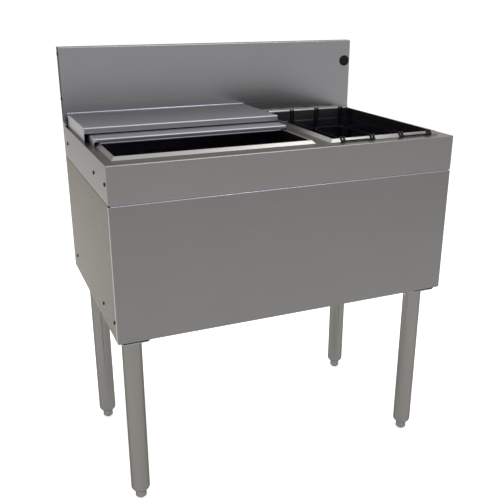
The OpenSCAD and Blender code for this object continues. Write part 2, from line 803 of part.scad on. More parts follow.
// Hanger wires, outer bar and end bars at the front end of a rack, over the rim's crest
module rack_hangers() {
    wire_r = wire_d / 2;
    bar_r = wire_r + bead;
    crest = [0, rim_w - rim_r, rim_w - rim_r * (1 + sqrt(2))];
    bend = rim_r + rest_gap + bar_r;
    slope_l = (crest[2] + bend / sqrt(2) - bar_r - rest_gap) * sqrt(2);
    bar = crest + [0, -(bend + slope_l) / sqrt(2), (bend - slope_l) / sqrt(2)];
    bar_l = hanger_pitch + hairpin_w + wire_d + weld;
    for (x = wire_places()) translate([x, 0, 0]) {
        translate(crest) rotate([90, 0, 90]) rotate_extrude(angle = 135)
            translate([bend, 0]) circle(bar_r, $fn = 24);
        translate(crest + [0, bend, -crest[2] - rack_h - wire_r])
            cylinder(r = wire_r, h = crest[2] + rack_h + wire_r + weld, $fn = 24);
        translate(bar) rotate([-45, 0, 0]) cylinder(r = wire_r, h = slope_l + weld, $fn = 24);
    }
    translate(bar - [bar_l / 2, 0, 0]) rotate([0, 90, 0])
        cylinder(r = bar_r, h = bar_l, $fn = 24);
    for (z = [-hoop_z, -rack_h])
        translate([-bar_l / 2, crest[1] + bend + wire_d - weld, z + wire_d - weld])
            rotate([0, 90, 0]) cylinder(r = wire_r, h = bar_l, $fn = 24);
}

// Round-cornered hoop of wire, in from the wall by the hangers' own wires
module rack_hoop() {
    wire_r = wire_d / 2;
    y0 = rim_w + rest_gap + wire_r + bead + wire_d - weld;
    w = hoop_w;
    l = well_l - 2 * y0;
    translate([-w / 2, y0, 0]) {
        for (side = [0, 1]) translate([side * w, hoop_r - weld, 0]) rotate([-90, 0, 0])
            cylinder(r = wire_r, h = l - 2 * (hoop_r - weld), $fn = 24);
        for (side = [0, 1]) translate([hoop_r - weld, side * l, 0]) rotate([0, 90, 0])
            cylinder(r = wire_r, h = w - 2 * (hoop_r - weld), $fn = 24);
        for (corner = [[w - hoop_r, l - hoop_r, 0], [hoop_r, l - hoop_r, 90], [hoop_r, hoop_r, 180],
            [w - hoop_r, hoop_r, 270]])
            translate([corner[0], corner[1], 0]) rotate([0, 0, corner[2]])
                rotate_extrude(angle = 90) translate([hoop_r, 0]) circle(wire_r + bead, $fn = 24);
    }
}

// Wire bottle rack that hangs on the well's rim at both ends
module bottle_rack() {
    wire_r = wire_d / 2;
    floor_l = well_l - 2 * (rim_w + hoop_r + wire_d);
    rack_hangers();
    translate([0, well_l, 0]) mirror([0, 1, 0]) rack_hangers();
    for (z = [-hoop_z, -rack_h]) translate([0, 0, z]) rack_hoop();
    for (i = [0 : rack_floor_wires - 1])
        translate([-(hoop_w + wire_d) / 2, (well_l - floor_l) / 2 + floor_l * i / (rack_floor_wires - 1),
            -rack_h + wire_d - weld])
            rotate([0, 90, 0]) cylinder(r = wire_r, h = hoop_w + wire_d, $fn = 24);
}

module left_bottle_rack() {
    color([0.08, 0.08, 0.08]) at_deck() translate([well_x + rack_in, well_front, 0])
        bottle_rack();
}

module right_bottle_rack() {
    color([0.08, 0.08, 0.08]) at_deck() translate([well_x + rack_in + rack_pitch, well_front, 0])
        bottle_rack();
}

// Snap-in plug for the hose hole, with raised rings on its face
module hose_hole_plug() {
    hole_r = plug_hole_d / 2;
    bevel = plug_t / 3;
    color([0.07, 0.07, 0.07]) at_deck() translate([body_w - plug_in, splash_y, plug_z])
        rotate([90, 0, 0]) {
            difference() {
                union() {
                    rotate_extrude() polygon([[0, 0], [plug_d / 2, 0],
                        [plug_d / 2, plug_t - bevel], [plug_d / 2 - bevel, plug_t], [0, plug_t]]);
                    translate([0, 0, -sheet_t - plug_skirt])
                        cylinder(r = hole_r - hole_gap, h = sheet_t + plug_skirt);
                    translate([0, 0, -sheet_t - plug_skirt / 2])
                        cylinder(r = hole_r + plug_snap_h, h = plug_skirt / 4);
                }
                translate([0, 0, -sheet_t - plug_skirt - over])
                    cylinder(r = hole_r - hole_gap - plug_wall, h = sheet_t + plug_skirt + over);
            }
            for (r = plug_ring_r) translate([0, 0, plug_t]) difference() {
                cylinder(r = r + plug_ring_w / 2, h = plug_ring_h);
                translate([0, 0, -over])
                    cylinder(r = r - plug_ring_w / 2, h = plug_ring_h + 2 * over);
            }
        }
}

// Left leg channel, with holes for the bolts to the pan and to the spigots
module channel_shape() {
    side = channel_w / 2;
    line = [[-side, 0], [-side, channel_bevel - channel_h], [channel_bevel - side, -channel_h],
        [side - channel_bevel, -channel_h], [side, channel_bevel - channel_h], [side, 0]];
    hole = [0, 0, -channel_h - over];
    at_deck() difference() {
        translate([leg_in_x, channel_in, -body_h]) along_y(body_d - 2 * channel_in)
            strip(line, channel_t);
        at_channel_bolts() translate(hole)
            cylinder(r = bolt_r + hole_gap, h = channel_t + 2 * over);
        for (y = [leg_in_front, body_d - leg_in_rear])
            translate([leg_in_x, y, -body_h] + hole)
                cylinder(r = bolt_r + hole_gap, h = channel_t + 2 * over);
    }
}

module left_leg_channel() {
    color([0.5, 0.5, 0.5]) channel_shape();
}

module right_leg_channel() {
    color([0.5, 0.5, 0.5]) mirror([1, 0, 0]) channel_shape();
}

// Puts a piece drawn about the floor point of a leg at one of the four legs, right way round
module at_leg(side, row) {
    y = row == "front" ? leg_in_front - body_d / 2 : body_d / 2 - leg_in_rear;
    translate([side * (body_w / 2 - leg_in_x), y, 0])
        mirror([side > 0 ? 1 : 0, 0, 0]) children();
}

// Hole for a leg's set screw, on the leg's inner side
module set_screw_place() {
    translate([leg_d / 2 - set_screw_l, 0, leg_top - set_screw_in]) rotate([0, 90, 0]) children();
}

// Round spigot that fills the leg's upper end
module spigot() {
    r = leg_d / 2 - leg_wall - hole_gap / 2;
    color("silver") difference() {
        translate([0, 0, leg_top - spigot_l]) cylinder(r = r, h = spigot_l);
        translate([0, 0, leg_top - thread_l]) cylinder(r = bolt_r + hole_gap / 4, h = thread_l + over);
        set_screw_place() cylinder(r = set_screw_r + hole_gap / 4, h = set_screw_l + over);
    }
}

module leg() {
    color([0.52, 0.52, 0.5]) difference() {
        translate([0, 0, tube_end_z]) cylinder(d = leg_d, h = leg_top - tube_end_z, $fn = 64);
        translate([0, 0, tube_end_z - over])
            cylinder(d = leg_d - 2 * leg_wall, h = leg_top - tube_end_z + 2 * over, $fn = 64);
        set_screw_place() cylinder(r = set_screw_r + hole_gap, h = set_screw_l + over);
    }
}

// Socket in the leg's lower end, with a round shoulder and the thread for the foot
module socket() {
    bore = foot_d / 2 + foot_gap;
    thread = stud_d / 2 + foot_gap;
    inside = leg_d / 2 - leg_wall - hole_gap / 4;
    top = tube_end_z + socket_in;
    turn = asin((tube_end_z - socket_z) / shoulder_r);
    color([0.5, 0.5, 0.5]) rotate_extrude($fn = 64) polygon(concat(
        [[bore, socket_z]],
        arc(leg_d / 2 - shoulder_r, tube_end_z, shoulder_r, -turn, 0),
        [[inside, tube_end_z], [inside, top], [thread, top], [thread, stem_bore_z],
        [bore, stem_bore_z]]));
}

// Bullet foot with its stud
module foot() {
    color([0.5, 0.5, 0.5]) rotate_extrude($fn = 64) polygon([[0, 0], [foot_flat_r, 0],
        [foot_d / 2, foot_bevel], [foot_d / 2, stem_l], [stud_d / 2, stem_l],
        [stud_d / 2, stem_l + stud_l], [0, stem_l + stud_l]]);
}

module front_left_spigot() {
    at_leg(-1, "front") spigot();
}

module front_right_spigot() {
    at_leg(1, "front") spigot();
}

module rear_left_spigot() {
    at_leg(-1, "rear") spigot();
}

module rear_right_spigot() {
    at_leg(1, "rear") spigot();
}

module front_left_leg() {
    at_leg(-1, "front") leg();
}

module front_right_leg() {
    at_leg(1, "front") leg();
}

module rear_left_leg() {
    at_leg(-1, "rear") leg();
}

module rear_right_leg() {
    at_leg(1, "rear") leg();
}

module front_left_socket() {
    at_leg(-1, "front") socket();
}

module front_right_socket() {
    at_leg(1, "front") socket();
}

module rear_left_socket() {
    at_leg(-1, "rear") socket();
}

module rear_right_socket() {
    at_leg(1, "rear") socket();
}

module front_left_foot() {
    at_leg(-1, "front") foot();
}

module front_right_foot() {
    at_leg(1, "front") foot();
}

module rear_left_foot() {
    at_leg(-1, "rear") foot();
}

module rear_right_foot() {
    at_leg(1, "rear") foot();
}

// Pan-head screw along +X whose head sits on the plane X = 0
module side_screw() {
    difference() {
        union() {
            translate([-screw_head_h, 0, 0]) rotate([0, 90, 0]) rotate_extrude()
                polygon([[0, 0], [screw_head_r - screw_head_h / 2, 0],
                    [screw_head_r, screw_head_h / 2], [screw_head_r, screw_head_h],
                    [0, screw_head_h]]);
            rotate([0, 90, 0]) cylinder(r = screw_r, h = screw_l);
        }
        for (turn = [0, 90]) rotate([turn, 0, 0])
            translate([-screw_head_h - over, -recess_w / 2, -screw_head_r / 2])
                cube([recess_d + over, recess_w, screw_head_r]);
    }
}

module side_screws() {
    color([0.2, 0.2, 0.2]) at_deck() both_sides()
        for (y = side_screw_y, z = [-upper_screw_z, -body_h + lower_screw_z])
            translate([0, y, z]) side_screw();
}

module backsplash_screws() {
    color([0.2, 0.2, 0.2]) at_deck() both_sides()
        for (z = splash_screw_z) translate([0, body_d - splash_screw_in, z]) side_screw();
}

// Hex bolts from under the channels up through the pan
module channel_bolts() {
    color("silver") at_deck() both_sides() at_channel_bolts()
        translate([0, 0, -channel_h - bolt_head_h]) {
            cylinder(r = bolt_head_r, h = bolt_head_h, $fn = 6);
            cylinder(r = bolt_r, h = bolt_head_h + channel_h + sheet_t + bolt_nut_h + bolt_end);
        }
}

module channel_nuts() {
    color("silver") at_deck() both_sides() at_channel_bolts() translate([0, 0, sheet_t])
        difference() {
            cylinder(r = bolt_head_r, h = bolt_nut_h, $fn = 6);
            translate([0, 0, -over])
                cylinder(r = bolt_r + hole_gap / 4, h = bolt_nut_h + 2 * over);
        }
}

// Hex bolts inside the channels, down into the spigots
module spigot_bolts() {
    color("silver") for (side = [-1, 1], row = ["front", "rear"]) at_leg(side, row) {
        translate([0, 0, leg_top + channel_t]) cylinder(r = bolt_head_r, h = bolt_head_h, $fn = 6);
        translate([0, 0, leg_top - thread_l + bolt_end])
            cylinder(r = bolt_r, h = thread_l - bolt_end + channel_t + over);
    }
}

module leg_set_screws() {
    color("silver") for (side = [-1, 1], row = ["front", "rear"]) at_leg(side, row)
        set_screw_place() difference() {
            cylinder(r = set_screw_r, h = set_screw_l);
            translate([0, 0, set_screw_l - recess_d])
                cylinder(r = set_screw_r / 2, h = recess_d + over, $fn = 6);
        }
}

work_top();
backsplash();
backsplash_cover();
front_panel();
left_side_panel();
right_side_panel();
rear_panel();
bottom_pan();
ice_bin_liner();
ice_bin_foam();
bottle_well_liner();
ice_drain_body();
ice_drain_gasket();
ice_drain_locknut();
ice_drain_strainer();
well_drain_body();
well_drain_gasket();
well_drain_locknut();
well_drain_strainer();
rear_cover();
front_cover();
left_bottle_rack();
right_bottle_rack();
hose_hole_plug();
left_leg_channel();
right_leg_channel();
front_left_spigot();
front_right_spigot();
rear_left_spigot();
rear_right_spigot();
front_left_leg();
front_right_leg();
rear_left_leg();
rear_right_leg();
front_left_socket();
front_right_socket();
rear_left_socket();
rear_right_socket();
front_left_foot();
front_right_foot();
rear_left_foot();
rear_right_foot();
side_screws();
backsplash_screws();
channel_bolts();
channel_nuts();
spigot_bolts();
leg_set_screws();
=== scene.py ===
import math

import bpy
from mathutils import Matrix, Vector


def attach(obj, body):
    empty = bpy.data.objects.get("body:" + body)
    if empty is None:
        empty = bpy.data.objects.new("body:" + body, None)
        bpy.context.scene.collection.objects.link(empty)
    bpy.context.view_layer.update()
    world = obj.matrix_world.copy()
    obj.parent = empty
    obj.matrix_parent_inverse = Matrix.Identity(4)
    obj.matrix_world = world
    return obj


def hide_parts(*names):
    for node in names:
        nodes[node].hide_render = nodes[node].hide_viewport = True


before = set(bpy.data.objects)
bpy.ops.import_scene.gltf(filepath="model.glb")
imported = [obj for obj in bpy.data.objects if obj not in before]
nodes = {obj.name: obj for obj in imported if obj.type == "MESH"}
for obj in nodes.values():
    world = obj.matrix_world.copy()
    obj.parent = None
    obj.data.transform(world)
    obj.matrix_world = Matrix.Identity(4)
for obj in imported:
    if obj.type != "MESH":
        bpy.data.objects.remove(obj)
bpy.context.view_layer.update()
scene = bpy.context.scene
print("frame loaded:", len(nodes), "nodes")


# Turns an sRGB hex value such as 8a8888 to the linear colour that a socket takes
def srgb(hexColour):
    channels = [int(hexColour[i:i + 2], 16) / 255 for i in (0, 2, 4)]
    linear = [c / 12.92 if c <= 0.04045 else ((c + 0.055) / 1.055) ** 2.4 for c in channels]
    return (*linear, 1.0)


# Camera: the place and turn found from the body's edges in the photo
photoCamera = {
    "place": (-0.61577, -1.45778, 1.04194),    # m
    "yaw": 22.908,            # degrees to the right of straight on
    "pitch": 19.854,          # degrees down
    "lens": 50.0,             # mm
    "sensor": 36.0,           # mm
    "clip": (0.02, 200.0),    # m, the nearest and the farthest that show
}


def makeCamera(look):
    bpy.ops.object.camera_add(location=look["place"])
    camera = bpy.context.object
    camera.name = "photoCamera"
    camera.rotation_euler = (math.radians(90 - look["pitch"]), 0, math.radians(-look["yaw"]))
    camera.data.lens = look["lens"]
    camera.data.sensor_width = look["sensor"]
    camera.data.clip_start, camera.data.clip_end = look["clip"]
    scene.camera = camera


makeCamera(photoCamera)
scene.view_settings.view_transform = "Standard"


# Gives a material or world an empty node tree
def emptyTree(owner):
    owner.use_nodes = True
    owner.node_tree.nodes.clear()
    return owner.node_tree


# Adds a node, sets its properties and sockets, and links {socket: source socket}
def addNode(tree, kind, inputs=None, links=None, **settings):
    node = tree.nodes.new(kind)
    for key, value in settings.items():
        setattr(node, key, value)
    for key, value in (inputs or {}).items():
        node.inputs[key].default_value = value
    for key, source in (links or {}).items():
        tree.links.new(source, node.inputs[key])
    return node


def newMaterial(name):
    material = bpy.data.materials.new(name)
    tree = emptyTree(material)
    out = addNode(tree, "ShaderNodeOutputMaterial")
    shader = addNode(tree, "ShaderNodeBsdfPrincipled")
    tree.links.new(shader.outputs["BSDF"], out.inputs["Surface"])
    return material, tree, shader


# What every stainless finish shares. Real grain is about 0.1 mm wide, too fine to show at this
# size, so it is drawn about ten times coarser.
steelGrain = {
    "lineWidth": 1.1,            # mm
    "lineLength": 140.0,         # mm
    "noiseSpan": (0.3, 0.7),     # the middle of the noise, where nearly all of it lies
    "smudge": 90.0,              # mm, size of the soft patches that handling leaves
    "edge": 0.6,                 # mm, how far the edge wear and painted highlight reach in from an edge
    "edgeLean": (0.995, 0.8),    # cosine of the edge's turn where the wear and painted highlight start and where they are full
    "wornAndHighlightColour": "e4e3e0",
    "bumpDepth": 0.2,            # mm
    "polishRoughness": 0.06,
    "polishIor": 1.9,
}


# Stainless sheet or tube with a fine directional grain: a satin sheen drawn out across it
def brushedSteel(name, colour, roughness, along="X", grainDepth=0.05, patina=0.05, edgeWearAndHighlight=0.12,
                 edge="ffffff", polish=0.0, relief=0.02):
    material, tree, shader = newMaterial(name)
    place = addNode(tree, "ShaderNodeTexCoord").outputs["Object"]
    thin = 1000 / steelGrain["lineWidth"]
    long = 1000 / steelGrain["lineLength"]
    scale = {"X": (long, thin, thin), "Y": (thin, long, thin), "Z": (thin, thin, long)}[along]
    mapped = addNode(tree, "ShaderNodeMapping", {"Scale": scale}, {"Vector": place})
    grain = addNode(tree, "ShaderNodeTexNoise", {"Scale": 1.0, "Detail": 3.0, "Roughness": 0.6},
                    {"Vector": mapped.outputs["Vector"]}).outputs["Fac"]
    smudge = addNode(tree, "ShaderNodeTexNoise",
                     {"Scale": 1000 / steelGrain["smudge"], "Detail": 2.0, "Roughness": 0.5},
                     {"Vector": place}).outputs["Fac"]
    low, high = steelGrain["noiseSpan"]
    tone = addNode(tree, "ShaderNodeMapRange",
                   {"From Min": low, "From Max": high, "To Min": 1 - patina,
                    "To Max": 1 + patina}, {"Value": grain})
    cloudy = addNode(tree, "ShaderNodeMapRange",
                     {"From Min": low, "From Max": high, "To Min": 1 - patina / 2,
                      "To Max": 1 + patina / 2}, {"Value": smudge})
    both = addNode(tree, "ShaderNodeMath",
                   links={0: tone.outputs["Result"], 1: cloudy.outputs["Result"]},
                   operation="MULTIPLY")
    tinted = addNode(tree, "ShaderNodeVectorMath", {0: srgb(colour)[:3]},
                     {"Scale": both.outputs["Value"]}, operation="SCALE")
    # edges are brighter, partly wear where hands and racks rub and partly a painted highlight on
    # the bends: the rounded normal leaves the flat one there
    geometry = addNode(tree, "ShaderNodeNewGeometry")
    rounded = addNode(tree, "ShaderNodeBevel", {"Radius": steelGrain["edge"] / 1000}, samples=4)
    lean = addNode(tree, "ShaderNodeVectorMath",
                   links={0: geometry.outputs["Normal"], 1: rounded.outputs["Normal"]},
                   operation="DOT_PRODUCT")
    start, full = steelGrain["edgeLean"]
    wearAndHighlightMask = addNode(tree, "ShaderNodeMapRange",
                   {"From Min": start, "From Max": full, "To Min": 0.0, "To Max": edgeWearAndHighlight},
                   {"Value": lean.outputs["Value"]})
    mixed = addNode(tree, "ShaderNodeMix", {"B": srgb(steelGrain["wornAndHighlightColour"])},
                    {"Factor": wearAndHighlightMask.outputs["Result"], "A": tinted.outputs["Vector"]},
                    data_type="RGBA")
    tree.links.new(mixed.outputs["Result"], shader.inputs["Base Color"])
    gloss = addNode(tree, "ShaderNodeMapRange",
                    {"From Min": low, "From Max": high, "To Min": roughness - grainDepth,
                     "To Max": roughness + grainDepth}, {"Value": grain})
    tree.links.new(gloss.outputs["Result"], shader.inputs["Roughness"])
    bump = addNode(tree, "ShaderNodeBump",
                   {"Strength": relief, "Distance": steelGrain["bumpDepth"] / 1000},
                   {"Height": grain, "Normal": rounded.outputs["Normal"]})
    tree.links.new(bump.outputs["Normal"], shader.inputs["Normal"])
    shader.inputs["Metallic"].default_value = 1.0
    shader.inputs["Specular Tint"].default_value = srgb(edge)    # the sheen at a glancing view
    # rolled sheet mirrors faintly under its grain
    shader.inputs["Coat Weight"].default_value = polish
    shader.inputs["Coat Roughness"].default_value = steelGrain["polishRoughness"]
    shader.inputs["Coat IOR"].default_value = steelGrain["polishIor"]
    return material


# What the plastics, the rubber and the dipped coating share
coatingGrain = {
    "fine": 0.8,         # mm, pores and mould texture, drawn coarse enough to show
    "broad": 25.0,       # mm, soft gloss changes
    "toneSwing": 0.15,
    "glossSwing": 0.1,
    "relief": 0.1,
    "bumpDepth": 0.2,    # mm
}


# Moulded plastic, rubber or a dipped coating: a fine even texture with soft gloss changes
def coated(name, colour, roughness, sheen=0.5):
    material, tree, shader = newMaterial(name)
    look = coatingGrain
    place = addNode(tree, "ShaderNodeTexCoord").outputs["Object"]
    fine = addNode(tree, "ShaderNodeTexNoise", {"Scale": 1000 / look["fine"], "Detail": 2.0},
                   {"Vector": place}).outputs["Fac"]
    broad = addNode(tree, "ShaderNodeTexNoise", {"Scale": 1000 / look["broad"], "Detail": 2.0},
                    {"Vector": place}).outputs["Fac"]
    gloss = addNode(tree, "ShaderNodeMapRange", {"To Min": roughness - look["glossSwing"],
                                                 "To Max": roughness + look["glossSwing"]},
                    {"Value": broad})
    tree.links.new(gloss.outputs["Result"], shader.inputs["Roughness"])
    tone = addNode(tree, "ShaderNodeMapRange", {"To Min": 1 - look["toneSwing"],
                                                "To Max": 1 + look["toneSwing"]},
                   {"Value": fine})
    tinted = addNode(tree, "ShaderNodeVectorMath", {0: srgb(colour)[:3]},
                     {"Scale": tone.outputs["Result"]}, operation="SCALE")
    tree.links.new(tinted.outputs["Vector"], shader.inputs["Base Color"])
    bump = addNode(tree, "ShaderNodeBump",
                   {"Strength": look["relief"], "Distance": look["bumpDepth"] / 1000},
                   {"Height": fine})
    tree.links.new(bump.outputs["Normal"], shader.inputs["Normal"])
    shader.inputs["Specular IOR Level"].default_value = sheen
    return material


foamCells = {
    "cell": 2.0,         # mm
    "colour": "d9c98a",
    "deepColour": "b9a35f",
    "roughness": 0.95,
    "relief": 0.4,
    "bumpDepth": 1.0,    # mm
}


# Poured polyurethane foam: matt, with open cells
def foam(name, look):
    material, tree, shader = newMaterial(name)
    place = addNode(tree, "ShaderNodeTexCoord").outputs["Object"]
    cells = addNode(tree, "ShaderNodeTexVoronoi", {"Scale": 1000 / look["cell"]},
                    {"Vector": place}).outputs["Distance"]
    mixed = addNode(tree, "ShaderNodeMix",
                    {"A": srgb(look["colour"]), "B": srgb(look["deepColour"])},
                    {"Factor": cells}, data_type="RGBA")
    tree.links.new(mixed.outputs["Result"], shader.inputs["Base Color"])
    bump = addNode(tree, "ShaderNodeBump",
                   {"Strength": look["relief"], "Distance": look["bumpDepth"] / 1000},
                   {"Height": cells})
    tree.links.new(bump.outputs["Normal"], shader.inputs["Normal"])
    shader.inputs["Roughness"].default_value = look["roughness"]
    return material


# Sheet brushed with a belt along its length: an even satin grey
frontSteel = brushedSteel("stainlessFrontBrushed", "6f6e6c", 0.30, grainDepth=0.03,
                          patina=0.02, relief=0.008)
# The same sheet where racks and hands rub it: smoother, with bright bends. Painted light: its base
# is lighter than the front's for the light falling on the deck, and its raised edge wear is partly
# a painted highlight on the bends
deckSteel = brushedSteel("stainlessDeckBrushed", "777574", 0.25, grainDepth=0.015,
                         edgeWearAndHighlight=0.2, patina=0.02, edge="d2d0cc", relief=0.005)
# The same sheet standing up, little used: it mirrors the covers and the dark well faintly. Painted
# light: its base is lighter than the front's, standing in for the light falling on it from above
splashSteel = brushedSteel("stainlessSplashBrushed", "828183", 0.26, grainDepth=0.015,
                           edgeWearAndHighlight=0.02, patina=0.02, edge="5a5854", polish=0.06, relief=0.004)
# Brushed front to back. Painted light: the base is lighter and warmer than the front's, standing
# in for the brighter, warmer light on the sides
sideSteel = brushedSteel("stainlessSideBrushed", "7c7a76", 0.28, "Y", grainDepth=0.03,
                         patina=0.02, edge="b9b7b0", relief=0.006)
# Thin covers, brushed coarser: a wide soft sheen. Painted light: the base is lighter and bluer
# than the front's, standing in for the cool light from above
coverSteel = brushedSteel("stainlessCoverBrushed", "8d8c92", 0.36, grainDepth=0.02,
                          edgeWearAndHighlight=0.02, patina=0.02, edge="f0efeb", polish=0.1, relief=0.01)
# Painted highlight: a pale lavender colour for the thin rods below, standing in for the bright
# lines that light and its reflections make along bends
highlightSteel = brushedSteel("paintedHighlightHem", "c0bed2", 0.25, grainDepth=0.02, patina=0.03,
                        edgeWearAndHighlight=0.0, edge="c8c6d8")
# Welded tube polished along its length: a soft upright sheen
tubeSteel = brushedSteel("stainlessTubePolished", "75736f", 0.24, "Z", patina=0.03,
                         edge="b2b0ab")
# Bar turned on a lathe: a plain grey with little shine
turnedSteel = brushedSteel("stainlessTurned", "7b7977", 0.30, "Z", edgeWearAndHighlight=0.05, edge="a0a0a0")
# Deep-drawn liner walls, glossy. Painted light: the base is lighter and bluish, standing in for
# the light bounced about inside the dark well
linerSteel = brushedSteel("stainlessLinerDrawn", "8c8c9c", 0.20, "Z")
# Hot-dipped zinc: dull and cloudy
galvanised = brushedSteel("galvanisedSheet", "8d9092", 0.45, "Y", patina=0.12)
# Electroplated zinc on bolts and spigots: cool and even
zinc = brushedSteel("zincPlatedSteel", "a9aaad", 0.32, "Z")
# Nickel plate on turned brass: warm and shiny
nickel = brushedSteel("nickelPlatedBrass", "b5b2aa", 0.18, "Z")
# Screw heads: painted shade, coloured near black so that they show as small dark dots
screwSteel = brushedSteel("stainlessScrewDarkened", "2a2a2c", 0.35, edge="707070")
# Wire dipped in hot vinyl: deep black with a soft narrow shine
vinylWire = coated("vinylDippedWire", "070708", 0.36, sheen=0.16)
# Injection-moulded plastic: black, a little glossier than the wire
blackPlastic = coated("mouldedBlackPlastic", "0a0a0b", 0.30, sheen=0.16)
# Pressed rubber gaskets: matt black
blackRubber = coated("nitrileRubber", "0c0c0c", 0.6)
yellowFoam = foam("pouredUrethaneFoam", foamCells)

legNames = ["front_left", "front_right", "rear_left", "rear_right"]
finishes = [
    (deckSteel, ["work_top"]),
    (splashSteel, ["backsplash"]),
    (frontSteel, ["front_panel", "rear_panel", "backsplash_cover"]),
    (sideSteel, ["left_side_panel", "right_side_panel"]),
    (coverSteel, ["rear_cover", "front_cover"]),
    (linerSteel, ["ice_bin_liner", "bottle_well_liner"]),
    (galvanised, ["bottom_pan", "left_leg_channel", "right_leg_channel"]),
    (yellowFoam, ["ice_bin_foam"]),
    (nickel, ["ice_drain_body", "ice_drain_locknut", "well_drain_body", "well_drain_locknut"]),
    (turnedSteel, ["ice_drain_strainer", "well_drain_strainer"]),
    (blackRubber, ["ice_drain_gasket", "well_drain_gasket"]),
    (vinylWire, ["left_bottle_rack", "right_bottle_rack"]),
    (blackPlastic, ["hose_hole_plug"]),
    (tubeSteel, [leg + "_leg" for leg in legNames]),
    (turnedSteel, [leg + part for leg in legNames for part in ("_socket", "_foot")]),
    (zinc, [leg + "_spigot" for leg in legNames]),
    (zinc, ["channel_bolts", "channel_nuts", "spigot_bolts", "leg_set_screws"]),
    (screwSteel, ["side_screws", "backsplash_screws"]),
]
for material, names in finishes:
    for name in names:
        nodes[name].data.materials.clear()
        nodes[name].data.materials.append(material)
print("materials set on", sum(len(names) for material, names in finishes), "nodes")


# How every wire and painted highlight rod is bent
wireJig = {
    "sides": 16,          # of a wire's section
    "stepAngle": 12.0,    # degrees of a bend for each ring
    "leastRings": 3,
    "merge": 0.02,        # mm, rings closer than this become one
}


# Bends a wire as a jig does: ("run", length) or ("turn", degrees, radius, axis), all in mm
def bentWire(start, along, diameter, moves, closed=False):
    heading = Vector(along).normalized()
    place = Vector(start) / 1000
    bpy.ops.object.select_all(action="DESELECT")
    bpy.ops.mesh.primitive_circle_add(vertices=wireJig["sides"], radius=diameter / 2000,
                                      location=place,
                                      rotation=heading.to_track_quat("Z", "Y").to_euler())
    wire = bpy.context.object
    bpy.ops.object.transform_apply(location=True, rotation=True, scale=True)
    bpy.ops.object.mode_set(mode="EDIT")
    bpy.ops.mesh.select_all(action="SELECT")
    for kind, *sizes in moves:
        if kind == "run":
            step = heading * sizes[0] / 1000
            bpy.ops.mesh.extrude_region_move(TRANSFORM_OT_translate={"value": step})
            place = place + step
        else:
            degrees, radius, axis = sizes
            axis = Vector(axis)
            centre = place + axis.cross(heading) * radius / 1000
            rings = max(wireJig["leastRings"], round(degrees / wireJig["stepAngle"]))
            bpy.ops.mesh.spin(steps=rings, angle=math.radians(degrees), center=centre,
                              axis=-axis)    # spin turns clockwise
            turn = Matrix.Rotation(math.radians(degrees), 3, axis)
            place = centre + turn @ (place - centre)
            heading = turn @ heading
    bpy.ops.mesh.select_all(action="SELECT")
    bpy.ops.mesh.remove_doubles(threshold=wireJig["merge"] / 1000)
    if not closed:
        bpy.ops.mesh.fill_holes(sides=0)    # caps both ends
    bpy.ops.mesh.select_all(action="SELECT")
    bpy.ops.mesh.normals_make_consistent(inside=False)
    bpy.ops.object.mode_set(mode="OBJECT")
    return wire


# Bottle racks: wires bent and welded, then dipped, so the coating fills the corners of the welds.
# Lengths are in mm.
bottleRack = {
    "leftMiddle": 161.0,     # X of the left rack's middle
    "pitch": 144.5,          # to the right rack's middle
    "front": -207.3,         # Y of the foot of the well's rim
    "deck": 762.0,
    "length": 400.0,         # over the feet of the rim
    "wire": 3.1,             # over the coating
    "hoopWidth": 95.0,
    "hoopCorner": 20.0,
    "hoopIn": 13.6,          # from the rim's foot to the hoops' wire
    "upperHoop": -45.0,      # from the deck
    "floor": -190.0,         # from the deck
    "stack": 2.7,            # from a wire's middle to the one welded on it
    "floorWires": 9,
    "floorInset": 32.0,
    "hangers": (-36.0, 36.0),
    "hairpin": 7.0,          # between a hanger's two wires
    "hangerIn": 10.9,        # from the rim's foot
    "hangerTail": 1.5,       # that a hanger reaches below the floor hoop's middle
    "crest": 5.137,          # where the hanger's bend starts, above the deck
    "bend": 3.5,             # radius
    "overBend": 135.0,       # degrees, over the rim and down its slope
    "slope": 8.078,          # from the bend down to the outer bar
    "outerBar": (-0.787, 1.9),    # its Y from the rim's foot, and its height over the deck
    "barLength": 82.3,
    "voxel": 0.8,            # of the coating's mesh
    "smoothing": 0.5,
    "smoothRounds": 2,
}


